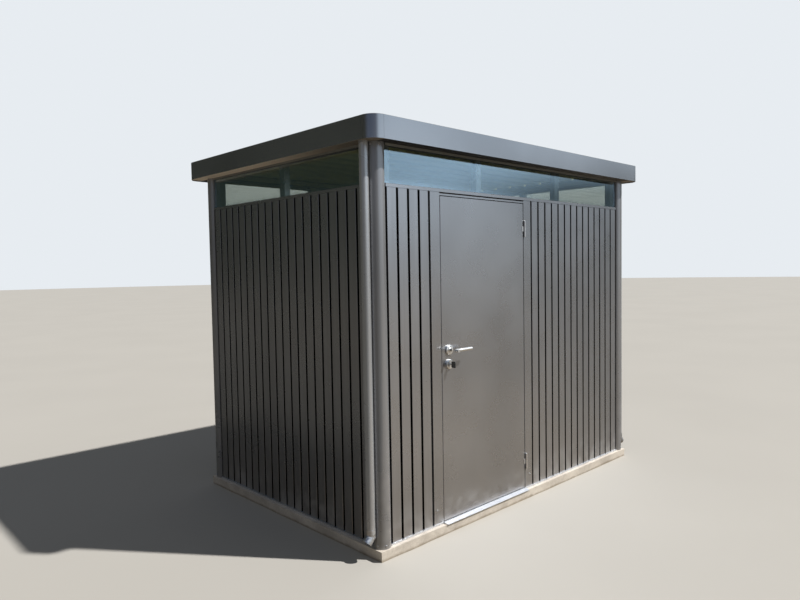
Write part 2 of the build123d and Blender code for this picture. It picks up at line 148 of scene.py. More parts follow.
class Recipe:
    """A node tree that is written as expressions."""

    def __init__(self, tree: bpy.types.NodeTree) -> None:
        """Empty the node tree of a material or a world."""
        self.tree = tree
        tree.nodes.clear()

    def node(self, kind: str, settings: dict[str, object] | None = None,
             inputs: dict[str | int, object] | None = None, output: str | int = 0) -> Signal:
        """Add any node.

        Args:
            kind: Type name of the node.
            settings: Properties, set before the sockets; stops fills a colour ramp.
            inputs: Value or signal for each socket, by name or by number.
            output: Which output to return.

        Returns:
            The chosen output.
        """
        made = self.tree.nodes.new(kind)
        for name, value in (settings or {}).items():
            if name == "stops":
                self._fill_ramp(made.color_ramp, value)
            else:
                setattr(made, name, value)
        for name, value in (inputs or {}).items():
            if isinstance(value, Signal):
                self.tree.links.new(value.socket, made.inputs[name])
            else:
                made.inputs[name].default_value = value
        return Signal(self, made.outputs[output] if made.outputs else None)

    @staticmethod
    def _fill_ramp(ramp: bpy.types.ColorRamp, stops: list[tuple[float, Colour]]) -> None:
        """Give a colour ramp its stops.

        Args:
            ramp: The ramp.
            stops: Position and colour of each stop.
        """
        while len(ramp.elements) < len(stops):
            ramp.elements.new(0.5)
        for element, (position, colour) in zip(ramp.elements, stops):
            element.position = position
            element.color = (*colour, 1.0)

    @cached_property
    def place(self) -> Signal:
        """Object coordinates, which are the shed's own frame in metres."""
        return self.node("ShaderNodeTexCoord", output="Object")

    def component(self, vector: Signal, name: str) -> Signal:
        """The X, Y or Z of a vector."""
        return self.node("ShaderNodeSeparateXYZ", None, {0: vector}, output=name)

    def axis(self, name: str) -> Signal:
        """One of the object coordinates, X, Y or Z."""
        return self.component(self.place, name)

    def facing(self, name: str) -> Signal:
        """One component of the surface's own direction."""
        return self.component(self.node("ShaderNodeTexCoord", output="Normal"), name)

    def ray(self, kind: str) -> Signal:
        """One for Camera, Glossy or Transmission rays."""
        return self.node("ShaderNodeLightPath", output=f"Is {kind} Ray")

    def cloud(self, scale: float, detail: float = 3.0, rough: float = 0.5,
              stretch: Point = (1.0, 1.0, 1.0)) -> Signal:
        """Noise around one half.

        Args:
            scale: Cells per metre.
            detail: Number of finer layers.
            rough: Weight of the finer layers.
            stretch: Extra scale of each axis.

        Returns:
            The noise, from 0 to 1.
        """
        place = self.node("ShaderNodeVectorMath", {"operation": "MULTIPLY"},
                          {0: self.place, 1: stretch})
        return self.node("ShaderNodeTexNoise", None,
                         {"Vector": place, "Scale": scale, "Detail": detail, "Roughness": rough})

    def cells(self, scale: float, feature: str = "F1", output: str | int = "Distance") -> Signal:
        """Pattern of so many cells per metre, as the Distance of a feature or a Color per cell."""
        return self.node("ShaderNodeTexVoronoi", {"feature": feature},
                         {"Vector": self.place, "Scale": scale}, output=output)

    def lay(self, factor: Signal, under: Signal | Colour, over: Signal | Colour) -> Signal:
        """Lay one colour over another.

        Args:
            factor: How much of the upper colour shows.
            under: Lower colour.
            over: Upper colour.

        Returns:
            The combined colour.
        """
        under, over = (c if isinstance(c, Signal) else (*c, 1.0) for c in (under, over))
        return self.node("ShaderNodeMix", {"data_type": "RGBA", "clamp_factor": True},
                         {0: factor, 6: under, 7: over}, output=2)

    def vary(self, factor: Signal, tone: Colour, darker: float, lighter: float) -> Signal:
        """Let a colour wander between a dark and a light shade of it.

        Args:
            factor: Where the light shade shows.
            tone: The colour.
            darker: Share of the colour in the dark shade.
            lighter: Share of the colour in the light shade.

        Returns:
            The varied colour.
        """
        dark, light = (tuple(min(1.0, channel * share) for channel in tone)
                       for share in (darker, lighter))
        return self.lay(factor, dark, light)

    def bump(self, height: Signal, depth: float, under: Signal | None = None) -> Signal:
        """Turn a height into a shaded relief.

        Args:
            height: Height from 0 to 1.
            depth: Metres that a height of 1 stands for.
            under: Relief that lies under this one.

        Returns:
            The new normal.
        """
        inputs = {"Height": height, "Distance": depth, "Strength": 1.0}
        if under is not None:
            inputs["Normal"] = under
        return self.node("ShaderNodeBump", None, inputs)

    def close(self, inputs: dict[str | int, object]) -> None:
        """Add the main shader, with what its sockets get, and the output."""
        shader = self.node("ShaderNodeBsdfPrincipled", None, inputs)
        self.node("ShaderNodeOutputMaterial", None, {"Surface": shader})


@dataclass(frozen=True)
class Finish:
    """A finish, made as a material of the same name."""

    name: str

    def paint(self, recipe: Recipe) -> None:
        """Lay the nodes; each kind of finish has its own."""
        raise NotImplementedError

    def make(self) -> bpy.types.Material:
        """Build the material.

        Returns:
            The finished material.
        """
        material = bpy.data.materials.new(self.name)
        material.use_nodes = True
        self.paint(Recipe(material.node_tree))
        return material


@dataclass(frozen=True)
class PaintedSteel(Finish):
    """Satin metallic dark grey paint on folded steel sheet."""

    tone: Colour = (0.395, 0.405, 0.430)
    metallic: float = 0.82
    roughness: float = 0.28
    streak: float = 0.12
    waviness: float = 0.5
    wave_depth: float = 0.0022
    skin_depth: float = 0.000010
    dust_height: float = 0.35
    dust: Colour = (0.36, 0.32, 0.26)
    splashed: float = 0.42
    settled: float = 0.30
    lining_coat_and_light: Colour = (0.42, 0.42, 0.40)

    def colour(self, recipe: Recipe) -> tuple[Signal, Signal]:
        """Paint with rain streaks, and dust that thins out with height.

        Args:
            recipe: The material's nodes.

        Returns:
            The colour and the share of dust.
        """
        drift = recipe.cloud(1.3, 2.0)
        streaks = recipe.cloud(1.0, 4.0, 0.6, (38.0, 38.0, 0.7))
        drift = drift * (1.0 - self.streak) + streaks * self.streak
        paint = recipe.vary(drift.ramp(0.30, 0.70), self.tone, 0.89, 1.12)
        splash = recipe.cloud(9.0, 5.0, 0.65)
        height = recipe.axis("Z").ramp(0.04, self.dust_height, 1.0, 0.0)
        dust = (height * splash.ramp(0.30, 0.80)) * self.splashed
        patches = recipe.cloud(7.0, 4.0).ramp(0.35, 0.75) * 0.4 + 0.6
        cover = dust + recipe.facing("Z").ramp(0.30, 0.80) * patches * self.settled
        return recipe.lay(cover, paint, self.dust), cover

    def relief(self, recipe: Recipe) -> Signal:
        """Fine skin of the paint over the slow waves of thin sheet."""
        waves = recipe.bump(recipe.cloud(2.2, 1.0, 0.4), self.wave_depth * self.waviness)
        return recipe.bump(recipe.cloud(650.0, 2.0), self.skin_depth, waves)

    def extra(self, recipe: Recipe, colour: Signal) -> Signal:
        """Further marks over the paint, such as painted highlight and shade; plain paint has none."""
        return colour

    def lining(self, recipe: Recipe) -> Signal | None:
        """Where a second, dull coat lies; plain paint has none."""
        return None

    def coat(self, recipe: Recipe) -> Signal | Colour:
        """Colour of the second coat; in the roof finishes it carries painted light and shade."""
        return self.lining_coat_and_light

    def paint(self, recipe: Recipe) -> None:
        """Lay the nodes.

        Args:
            recipe: The material's nodes.
        """
        colour, cover = self.colour(recipe)
        colour = self.extra(recipe, colour)
        roughness = recipe.cloud(6.0, 3.0).ramp(0.3, 0.7, self.roughness - 0.015,
                                               self.roughness + 0.025) + cover * 0.6
        metallic = cover.ramp(0.0, 0.5, self.metallic, 0.0)
        lined = self.lining(recipe)
        if lined is not None:
            colour = recipe.lay(lined, colour, self.coat(recipe))
            roughness = roughness + lined * 0.5
            metallic = metallic * (1.0 - lined)
        recipe.close({"Base Color": colour, "Roughness": roughness,
                      "Metallic": metallic, "Normal": self.relief(recipe)})


@dataclass(frozen=True)
class RibbedPaint(PaintedSteel):
    """Paint on the ribbed sheets: a painted highlight on the rib edges, painted shade in the grooves,
    and a pale coat on the room side.
    """

    along: str = "X"
    across: str = "Y"
    first_groove: float = -1.200
    pitch: float = 0.080
    groove: float = 0.015
    # Colour of the painted highlight along the rib edges.
    rib_highlight: Colour = (0.58, 0.59, 0.61)
    shadow: Colour = (0.003, 0.003, 0.0035)

    def extra(self, recipe: Recipe, colour: Signal) -> Signal:
        """Paint a highlight along the rib edges and shade into the grooves.

        Args:
            recipe: The material's nodes.
            colour: The paint's colour.

        Returns:
            The colour with the painted highlight and shade.
        """
        phase = (recipe.axis(self.along) - (self.first_groove - self.pitch / 2)) % self.pitch
        away = abs(phase - self.pitch / 2)
        # Painted highlight: a lighter band along each rib edge.
        edge = abs(away - (self.groove / 2 + 0.0018)).ramp(0.0, 0.0022, 1.0, 0.0)
        # Painted shade: the grooves, side walls included, are laid nearly black.
        low = away.ramp(self.groove / 2 + 0.0001, self.groove / 2 + 0.0010, 1.0, 0.0)
        highlighted = recipe.lay(edge * 0.45, colour, self.rib_highlight)
        return recipe.lay(low * 0.97, highlighted, self.shadow)

    def lining(self, recipe: Recipe) -> Signal:
        """One where the sheet faces the room."""
        return (recipe.facing(self.across) * recipe.axis(self.across)).ramp(-0.5, -0.3, 1.0, 0.0)


@dataclass(frozen=True)
class LinedPaint(PaintedSteel):
    """Paint with another, dull coat on the faces that look down, whose colour carries painted light.
    """

    # Pale olive underside: a light coat, made lighter and tinted olive as painted light bounced up
    # from below.
    lining_coat_and_light: Colour = (0.80, 0.78, 0.40)

    def lining(self, recipe: Recipe) -> Signal:
        """One where the surface looks down."""
        return recipe.facing("Z").ramp(-0.45, -0.20, 1.0, 0.0)


@dataclass(frozen=True)
class SoffitPaint(LinedPaint):
    """Paint of the roof edge: painted shade on its underside in front, with a painted reflection that
    pales it along the sides.
    """

    # Painted shade: the near-black underside.
    lining_coat_and_light: Colour = (0.013, 0.012, 0.011)
    # Painted reflection: the pale colour the underside takes toward the right and beside the side
    # walls.
    pale: Colour = (0.90, 0.76, 0.62)

    def coat(self, recipe: Recipe) -> Signal:
        """Painted shade on the underside that pales a little toward the right, and a painted
        reflection beside the side walls that grows toward the back.

        Args:
            recipe: The material's nodes.

        Returns:
            The coat's colour.
        """
        # Masks of the painted reflection: beside the side walls, and a little toward the right.
        outside = abs(recipe.axis("X")).ramp(SIDE_FACE - 0.009, SIDE_FACE + 0.001)
        beside = outside * recipe.axis("Y").ramp(-0.8, 0.4, 0.2, 1.0)
        share = recipe.axis("X").ramp(-0.5, 1.2, 0.0, 0.10) + beside
        return recipe.lay(share, self.lining_coat_and_light, self.pale)


@dataclass(frozen=True)
class Concrete(Finish):
    """Cast concrete of the plinth, stained near the ground."""

    name: str = "cast_concrete"
    pale: Colour = (0.80, 0.735, 0.655)
    grey: Colour = (0.57, 0.515, 0.455)
    soil: Colour = (0.27, 0.215, 0.145)
    pore: Colour = (0.16, 0.14, 0.115)

    def paint(self, recipe: Recipe) -> None:
        """Lay the nodes.

        Args:
            recipe: The material's nodes.
        """
        patches = recipe.cloud(4.5, 6.0, 0.62)
        grit = recipe.cloud(160.0, 4.0, 0.7)
        body = recipe.lay((patches * 0.7 + grit * 0.3).ramp(0.36, 0.64), self.grey, self.pale)
        pores = recipe.cells(95.0).ramp(0.06, 0.16, 1.0, 0.0) * recipe.cloud(30.0, 2.0).ramp(0.5, 0.62)
        pitted = recipe.lay(pores * 0.8, body, self.pore)
        edge = recipe.axis("Z") + recipe.cloud(14.0, 5.0, 0.7) * 0.030
        soiled = recipe.lay(edge.ramp(0.014, 0.034, 0.75, 0.0), pitted, self.soil)
        relief = recipe.bump(recipe.cloud(38.0, 6.0, 0.7), 0.004)
        relief = recipe.bump(pores, -0.0022, relief)
        recipe.close({"Base Color": soiled, "Normal": relief,
                      "Roughness": grit.ramp(0.3, 0.7, 0.82, 0.96)})


@dataclass(frozen=True)
class DrawnMetal(Finish):
    """Bare metal with drawing or brushing lines along one direction."""

    tone: Colour
    roughness: float
    lines: Point
    tarnish: float = 0.3
    dirt: Colour = (0.30, 0.27, 0.22)

    def paint(self, recipe: Recipe) -> None:
        """Lay the nodes.

        Args:
            recipe: The material's nodes.
        """
        lines = recipe.cloud(1.0, 3.0, 0.7, self.lines)
        spots = recipe.cloud(26.0, 5.0, 0.65)
        metal = recipe.vary(lines.ramp(0.3, 0.7), self.tone, 0.86, 1.12)
        grime = spots.ramp(0.52, 0.78) * self.tarnish
        roughness = lines.ramp(0.25, 0.75, self.roughness - 0.05, self.roughness + 0.08) + grime * 0.4
        recipe.close({"Base Color": recipe.lay(grime, metal, self.dirt),
                      "Roughness": roughness,
                      "Metallic": grime.ramp(0.0, 0.5, 1.0, 0.35),
                      "Normal": recipe.bump(lines, 0.00004)})


@dataclass(frozen=True)
class ZincCoat(Finish):
    """Hot-dip zinc with its crystal pattern."""

    name: str = "zinc_spangle"
    tone: Colour = (0.50, 0.51, 0.53)
    bloomed: Colour = (0.66, 0.66, 0.64)
    crystals: float = 130.0

    def paint(self, recipe: Recipe) -> None:
        """Lay the nodes.

        Args:
            recipe: The material's nodes.
        """
        crystal = recipe.node("ShaderNodeSeparateColor", None,
                              {0: recipe.cells(self.crystals, output="Color")})
        seams = recipe.cells(self.crystals, "DISTANCE_TO_EDGE").ramp(0.0, 0.06)
        zinc = recipe.vary(crystal, self.tone, 0.82, 1.15)
        bloom = recipe.cloud(35.0, 4.0).ramp(0.5, 0.75) * 0.4
        recipe.close({"Base Color": recipe.lay(bloom, zinc, self.bloomed),
                      "Roughness": crystal.ramp(0.0, 1.0, 0.34, 0.50) + bloom * 0.4,
                      "Metallic": bloom.ramp(0.0, 0.4, 0.9, 0.5),
                      "Normal": recipe.bump(seams, 0.00005)})


@dataclass(frozen=True)
class MouldedBlack(Finish):
    """Black plastic or rubber with a fine grain."""

    tone: Colour = (0.022, 0.022, 0.023)
    dust: Colour = (0.20, 0.185, 0.16)
    roughness: float = 0.55

    def paint(self, recipe: Recipe) -> None:
        """Lay the nodes.

        Args:
            recipe: The material's nodes.
        """
        grain = recipe.cloud(900.0, 2.0, 0.6)
        dusting = recipe.cloud(45.0, 4.0, 0.6).ramp(0.45, 0.8) * 0.16
        recipe.close({"Base Color": recipe.lay(dusting, self.tone, self.dust),
                      "Roughness": grain.ramp(0.3, 0.7, self.roughness - 0.08,
                                              self.roughness + 0.10),
                      "Normal": recipe.bump(grain, 0.00012)})


@dataclass(frozen=True)
class ClearGlazing(Finish):
    """Clear panes that mirror the world and show the room behind, dusty along the lower edge."""

    name: str = "clear_pane"
    mirror: Colour = (0.66, 0.84, 1.00)
    through: Colour = (0.97, 0.99, 0.955)
    base_share: float = 0.20

    def paint(self, recipe: Recipe) -> None:
        """Lay the nodes.

        Args:
            recipe: The material's nodes.
        """
        facing = recipe.node("ShaderNodeLayerWeight", None, {"Blend": 0.5}, output="Facing")
        film = recipe.cloud(3.0, 4.0, 0.6, (1.0, 1.0, 2.5)).ramp(0.35, 0.75)
        foot = recipe.axis("Z").ramp(1.945, 1.985, 1.0, 0.0) * 0.10
        share = (facing ** 2.0) * 0.62 + film * 0.02 + (self.base_share + foot)
        clear = recipe.node("ShaderNodeBsdfTransparent", None, {"Color": (*self.through, 1.0)})
        polish = recipe.node("ShaderNodeBsdfPrincipled", None,
                             {"Base Color": (*self.mirror, 1.0), "Metallic": 1.0,
                              "Roughness": film.ramp(0.0, 1.0, 0.01, 0.035)})
        pane = recipe.node("ShaderNodeMixShader", None, {0: share, 1: clear, 2: polish})
        recipe.node("ShaderNodeOutputMaterial", None, {"Surface": pane})


@dataclass(frozen=True)
class PaleFloor(Finish):
    """Plain pale studio floor."""

    name: str = "pale_floor"
    tone: Colour = (0.52, 0.505, 0.475)
    mirrored: Colour = (0.27, 0.215, 0.150)
    dim: Colour = (0.045, 0.042, 0.034)
    bounced: Colour = (0.26, 0.24, 0.20)

    def paint(self, recipe: Recipe) -> None:
        """Lay the nodes.

        Args:
            recipe: The material's nodes.
        """
        soft = recipe.cloud(0.6, 3.0).ramp(0.3, 0.7)
        tone = recipe.vary(soft, self.tone, 0.97, 1.0)
        far_right = (recipe.axis("X") + recipe.axis("Y")).ramp(-0.8, 1.5, 0.0, 0.65)
        far_left = (recipe.axis("X").ramp(-2.4, -1.4, 0.95, 0.0)
                    * recipe.axis("X").ramp(-9.0, -3.5, 0.70, 1.0))
        ground = recipe.lay(far_left, recipe.lay(far_right, self.mirrored, self.dim), self.dim)
        unseen = recipe.lay(recipe.ray("Glossy"), self.bounced, ground)
        tone = recipe.lay(recipe.ray("Camera"), unseen, tone)
        recipe.close({"Base Color": tone, "Roughness": 0.9})


def mesh_of(shape: bmesh.types.BMesh, name: str) -> bpy.types.Mesh:
    """Turn a bmesh into a mesh and free it.

    Args:
        shape: The bmesh.
        name: The mesh's name.

    Returns:
        The mesh.
    """
    mesh = bpy.data.meshes.new(name)
    shape.to_mesh(mesh)
    shape.free()
    return mesh


def turn_to(direction: Point | Vector) -> Matrix:
    """The turn that brings +Z to a direction."""
    return Vector(direction).to_track_quat("Z", "Y").to_matrix().to_4x4()


def joint_place(name: str) -> Vector:
    """Where one of the part's joints lies."""
    return Vector(next(joint["pos_m"] for joint in frame["joints"] if joint["name"] == name))


class Workpiece:
    """One mesh under construction, shaped with bmesh operators in the shed's own frame."""

    def __init__(self) -> None:
        """Start with an empty mesh."""
        self.bm = bmesh.new()

    def bevel(self, edges: list[bmesh.types.BMEdge], width: float, segments: int) -> None:
        """Round some edges."""
        bmesh.ops.bevel(self.bm, geom=edges, offset=width, offset_type="OFFSET", segments=segments,
                        profile=0.5, affect="EDGES", material=-1, clamp_overlap=True)

    def _edges_of(self, verts: list[bmesh.types.BMVert]) -> list[bmesh.types.BMEdge]:
        """Edges that join the given vertices."""
        return list(dict.fromkeys(edge for vert in verts for edge in vert.link_edges))

    def block(self, low: Point | Vector, high: Point | Vector, bevel: float = 0.0) -> None:
        """Add a box.

        Args:
            low: Lowest corner.
            high: Highest corner.
            bevel: Radius of its edges.
        """
        verts = bmesh.ops.create_cube(self.bm, size=1.0)["verts"]
        bmesh.ops.scale(self.bm, vec=Vector(high) - Vector(low), verts=verts)
        bmesh.ops.translate(self.bm, vec=(Vector(low) + Vector(high)) / 2, verts=verts)
        if bevel:
            self.bevel(self._edges_of(verts), bevel, 2)

    def rod(self, start: Point, end: Point, radius: float, bevel: float = 0.0) -> None:
        """Add a round bar.

        Args:
            start: Middle of its first end.
            end: Middle of its other end.
            radius: Its radius.
            bevel: Radius of the edges round its ends.
        """
        line = Vector(end) - Vector(start)
        place = Matrix.Translation((Vector(start) + Vector(end)) / 2) @ turn_to(line)
        verts = bmesh.ops.create_cone(self.bm, cap_ends=True, cap_tris=False, segments=ROUND,
                                      radius1=radius, radius2=radius, depth=line.length,
                                      matrix=place)["verts"]
        if bevel:
            rims = [edge for edge in self._edges_of(verts)
                    if any(len(face.verts) > 4 for face in edge.link_faces)]
            self.bevel(rims, bevel, 3)

    def turned(self, profile: list[tuple[float, float]], base: Point, axis: Point,
               steps: int) -> None:
        """Add a shape turned on a lathe.

        Args:
            profile: Closed outline as radius and distance along the axis.
            base: Where the axis starts.
            axis: Direction of the axis.
            steps: Faces around the shape.
        """
        part = bmesh.new()
        verts = [part.verts.new((radius, 0.0, along)) for radius, along in profile]
        edges = [part.edges.new(pair) for pair in zip(verts, verts[1:] + verts[:1])
                 if pair[0].co.x > 1e-6 or pair[1].co.x > 1e-6]
        bmesh.ops.spin(part, geom=verts + edges, cent=(0, 0, 0), axis=(0, 0, 1), dvec=(0, 0, 0),
                       angle=math.tau, steps=steps, use_merge=True, use_normal_flip=False,
                       use_duplicate=False)
        bmesh.ops.remove_doubles(part, verts=part.verts[:], dist=1e-6)
        bmesh.ops.recalc_face_normals(part, faces=part.faces[:])
        self.absorb(part, Matrix.Translation(base) @ turn_to(axis))

    def cut(self, spot: Vector, direction: Vector, drop_beyond: bool = False,
            drop_before: bool = False) -> None:
        """Cut everything along a plane.

        Args:
            spot: A point of the plane.
            direction: The plane's normal.
            drop_beyond: Take away what lies beyond the plane.
            drop_before: Take away what lies before the plane.
        """
        everything = self.bm.verts[:] + self.bm.edges[:] + self.bm.faces[:]
        bmesh.ops.bisect_plane(self.bm, geom=everything, plane_co=spot, plane_no=direction,
                               dist=1e-7, clear_outer=drop_beyond, clear_inner=drop_before)

    def absorb(self, part: bmesh.types.BMesh, place: Matrix) -> None:
        """Take over a finished bmesh, which is freed, at a place."""
        self.repeat(mesh_of(part, "carrier"), [place])

    def repeat(self, carrier: bpy.types.Mesh, places: list[Matrix]) -> None:
        """Add copies of one mesh.

        Args:
            carrier: The mesh to copy, which is removed at the end.
            places: Where each copy goes.
        """
        for place in places:
            known = len(self.bm.verts)
            self.bm.from_mesh(carrier)
            self.bm.verts.ensure_lookup_table()
            bmesh.ops.transform(self.bm, matrix=place, verts=self.bm.verts[known:])
        bpy.data.meshes.remove(carrier)

    def place_in_scene(self, name: str, material: bpy.types.Material, body: str,
                       replaced: tuple[str, ...] = (), sharp: float = 32.0) -> None:
        """Finish the mesh as an object that rides on a body.

        Args:
            name: The piece's name.
            material: Its finish.
            body: The CAD body that it moves with.
            replaced: CAD nodes that it stands for.
            sharp: Angle in degrees from which an edge stays sharp.
        """
        mesh = mesh_of(self.bm, name)
        for face in mesh.polygons:
            face.use_smooth = True
        mesh.set_sharp_from_angle(angle=math.radians(sharp))
        mesh.materials.append(material)
        piece = bpy.data.objects.new(name, mesh)
        bpy.context.scene.collection.objects.link(piece)
        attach(piece, body)
        if replaced:
            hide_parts(*replaced)
        log.info("%s: %d faces, on %s", name, len(mesh.polygons), body)


@dataclass
class Finishes:
    """Every finish of the shed, made once."""

    made: dict[str, bpy.types.Material] = field(default_factory=dict)

    def build(self) -> None:
        """Make all materials."""
        recipes = [
            RibbedPaint("ribbed_paint_along_x", streak=0.35, waviness=0.3),
            RibbedPaint("ribbed_paint_along_y", streak=0.35, waviness=0.3, along="Y", across="X",
                        first_groove=-0.800),
            PaintedSteel("frame_paint", dust_height=0.30, waviness=0.15, roughness=0.25),
            PaintedSteel("rail_paint", tone=(0.26, 0.26, 0.25), metallic=0.45, waviness=0.15,
                         roughness=0.42),
            # Dust up to 0.9 m on the posts and pipes: dust, and also a painted brown reflection of the
            # ground on their lower part.
            PaintedSteel("post_paint", tone=(0.295, 0.302, 0.322), metallic=0.42, dust_height=0.90,
                         waviness=0.15, roughness=0.24),
            # The pipes' tone is lighter than the posts' though they share one paint: painted light for
            # their sunlit side.
            PaintedSteel("pipe_paint", tone=(0.43, 0.445, 0.470), metallic=0.42, dust_height=0.90,
                         waviness=0.0, roughness=0.26),
            PaintedSteel("leaf_paint", streak=0.05, dust_height=0.30, waviness=0.35),
            SoffitPaint("roof_edge_paint", streak=0.04, waviness=0.20, dust_height=0.05,
                        roughness=0.21, settled=0.75, dust=(0.17, 0.165, 0.15)),
            # The hinges are much paler than the door's paint: a painted highlight for the bright line
            # along each barrel.
            PaintedSteel("hinge_paint", tone=(0.74, 0.74, 0.75), roughness=0.32, waviness=0.0),
            LinedPaint("roof_sheet_paint", waviness=0.3, dust_height=0.05, roughness=0.36,
                       settled=0.75, dust=(0.17, 0.165, 0.15)),
            Concrete(),
            DrawnMetal("mill_aluminium", (0.71, 0.72, 0.74), 0.52, (1.2, 1.2, 420.0), 0.05),
            DrawnMetal("satin_stainless", (0.82, 0.81, 0.79), 0.41, (60.0, 900.0, 900.0), 0.08),
            ZincCoat(),
            MouldedBlack("moulded_plastic", tone=(0.085, 0.084, 0.082)),
            MouldedBlack("seal_rubber", tone=(0.045, 0.046, 0.044), roughness=0.75),
            ClearGlazing(),
            PaleFloor(),
        ]
        for recipe in recipes:
            self.made[recipe.name] = recipe.make()
        log.info("finishes: %d", len(self.made))

    def __getitem__(self, name: str) -> bpy.types.Material:
        """The finish of that name."""
        return self.made[name]


@dataclass
class CadDressing:
    """Gives each CAD node that stays visible its finish."""

    finishes: Finishes
    prefixes: dict[str, tuple[str, ...]] = field(default_factory=lambda: {
        "ribbed_paint_along_x": ("wall_front", "wall_back"),
        "ribbed_paint_along_y": ("wall_left", "wall_right"),
        "frame_paint": ("sill_rail", "mullions", "door_jamb", "door_head"),
        "rail_paint": ("head_rail",), "post_paint": ("corner_post",), "pipe_paint": ("downpipes",),
        "leaf_paint": ("door_leaf",), "hinge_paint": ("hinge",),
        "roof_edge_paint": ("roof_edge", "roof_corners"), "roof_sheet_paint": ("roof_sheet",),
        "cast_concrete": ("plinth",), "mill_aluminium": ("base_rails", "door_threshold"),
        "zinc_spangle": ("shoe_",), "satin_stainless": ("rosettes", "door_handle", "lock_plug"),
        "moulded_plastic": ("key_bow",), "clear_pane": ("glass",)})

    def dress(self) -> None:
        """Assign the finishes to the nodes' material slots."""
        for name, node in frame["nodes"].items():
            finish = next(key for key, starts in self.prefixes.items() if name.startswith(starts))
            for slot in node.material_slots:
                slot.material = self.finishes[finish]
        log.info("dressed %d nodes", len(frame["nodes"]))


@dataclass
class Plinth:
    """Cast plinth with a rough lower edge."""

    finishes: Finishes
    cell: float = 0.030
    layer: float = 0.011
    wander: float = 0.006

    def build(self) -> None:
        """Cut the slab into cells and wear its sides inward."""
        low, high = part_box("plinth")
        work = Workpiece()
        work.block(low, high)
        for axis, step in enumerate((self.cell, self.cell, self.layer)):
            cuts = max(1, round((high[axis] - low[axis]) / step))
            normal = Vector([float(index == axis) for index in range(3)])
            for number in range(1, cuts):
                work.cut(low.lerp(high, number / cuts), normal)
        for vert in work.bm.verts:
            self._wear(vert, low, high)
        work.place_in_scene("concrete_plinth", self.finishes["cast_concrete"], "shed",
                            ("plinth",), 60.0)

    def _wear(self, vert: bmesh.types.BMVert, low: Vector, high: Vector) -> None:
        """Push one vertex of the sides inward.

        Args:
            vert: The vertex.
            low: The slab's lowest corner.
            high: The slab's highest corner.
        """
        down = 1.0 - (vert.co.z - low.z) / (high.z - low.z)
        for axis in (0, 1):
            outward = (vert.co[axis] - low[axis], high[axis] - vert.co[axis])
            if min(outward) > 1e-5:
                continue
            inward = 1.0 if outward[0] < outward[1] else -1.0
            coarse = noise.noise(vert.co * 7.0) * 0.5 + 0.5
            fine = noise.noise(vert.co * 45.0) * 0.5 + 0.5
            vert.co[axis] += inward * self.wander * (0.25 * fine + coarse * (0.2 + 1.1 * down))


@dataclass
class Fixings:
    """Screws with washers, each set one piece."""

    finishes: Finishes
    head_radius: float = 0.0048
    head_height: float = 0.0026
    washer_radius: float = 0.0072
    post_inset: float = 0.028
    post_radius: float = 0.046
    post_heights: tuple[float, ...] = (2.140, 0.073)
    post_quarters: tuple[float, ...] = (0.166, 0.834)
    frame_spots: tuple[float, ...] = (-0.8466, 0.0466)
    frame_height: float = 0.144
    crest_spots: tuple[float, ...] = (-1.185, -0.40, 0.40, 1.185)
    first_crest: float = -0.6975
    crest_pitch: float = 0.155
    crests: int = 10

    def screw(self) -> bpy.types.Mesh:
        """Model one screw that points along +Z.

        Returns:
            Its mesh.
        """
        head, tall, washer = self.head_radius, self.head_height, self.washer_radius
        work = Workpiece()
        work.turned([(0.0, 0.0), (washer, 0.0), (washer, 0.0007), (washer * 0.9, 0.0012),
                     (head, 0.0012), (head, tall * 0.7), (head * 0.75, tall + 0.0008),
                     (head * 0.35, tall + 0.0012), (head * 0.25, tall * 0.6), (0.0, tall * 0.6)],
                    (0, 0, 0), (0, 0, 1), 12)
        return mesh_of(work.bm, "screw")

    def drive(self, name: str, spots: list[tuple[Point, Point]], size: float) -> None:
        """Set screws at the given spots.

        Args:
            name: The set's name.
            spots: Place and outward direction of each screw.
            size: Scale of the screws.
        """
        work = Workpiece()
        work.repeat(self.screw(), [Matrix.Translation(spot) @ turn_to(out) @ Matrix.Scale(size, 4)
                                   for spot, out in spots])
        work.place_in_scene(name, self.finishes["zinc_spangle"], "shed")

    def build(self) -> None:
        """Screw the posts, the door frame and the roof sheet."""
        posts = []
        for x_side, y_side, height, quarter in product((-1, 1), (-1, 1), self.post_heights,
                                                       self.post_quarters):
            angle = quarter * math.pi / 2
            out = (x_side * math.sin(angle), y_side * math.cos(angle), 0.0)
            posts.append(((x_side * (SIDE_FACE - self.post_inset) + out[0] * self.post_radius,
                           y_side * (FRONT_FACE - self.post_inset) + out[1] * self.post_radius,
                           height), out))
        self.drive("post_screws", posts, 0.9)
        self.drive("door_frame_screws", [((x, -FRONT_FACE, self.frame_height), (0.0, -1.0, 0.0))
                                         for x in self.frame_spots], 0.8)
        _, sheet_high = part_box("roof_sheet")
        crests = [((x, self.first_crest + self.crest_pitch * number, sheet_high.z), (0.0, 0.0, 1.0))
                  for number in range(self.crests) for x in self.crest_spots]
        self.drive("roof_sheet_screws", crests, 1.3)


@dataclass
class Glazing:
    """Rubber seals along the panes."""

    finishes: Finishes
    end: float = 0.072
    setback: float = 0.0065
    low: float = 1.949
    high: float = 2.142
    lip: float = 0.0022

    def build(self) -> None:
        """Lay a lip of rubber along the foot and the head of each pane, outside."""
        work = Workpiece()
        for side in Side:
            axis, outward = side.value
            reach, face = (SIDE_FACE, FRONT_FACE) if axis == "X" else (FRONT_FACE, SIDE_FACE)
            reach, face = reach - self.end, face - self.setback
            near, far = sorted((outward * (face + 0.0002), outward * (face + 0.0032)))
            for base in (self.low, self.high - self.lip):
                if axis == "X":
                    corners = ((-reach, near, base), (reach, far, base + self.lip))
                else:
                    corners = ((near, -reach, base), (far, reach, base + self.lip))
                work.block(*corners, bevel=0.0008)
        work.place_in_scene("glazing_seals", self.finishes["seal_rubber"], "shed")


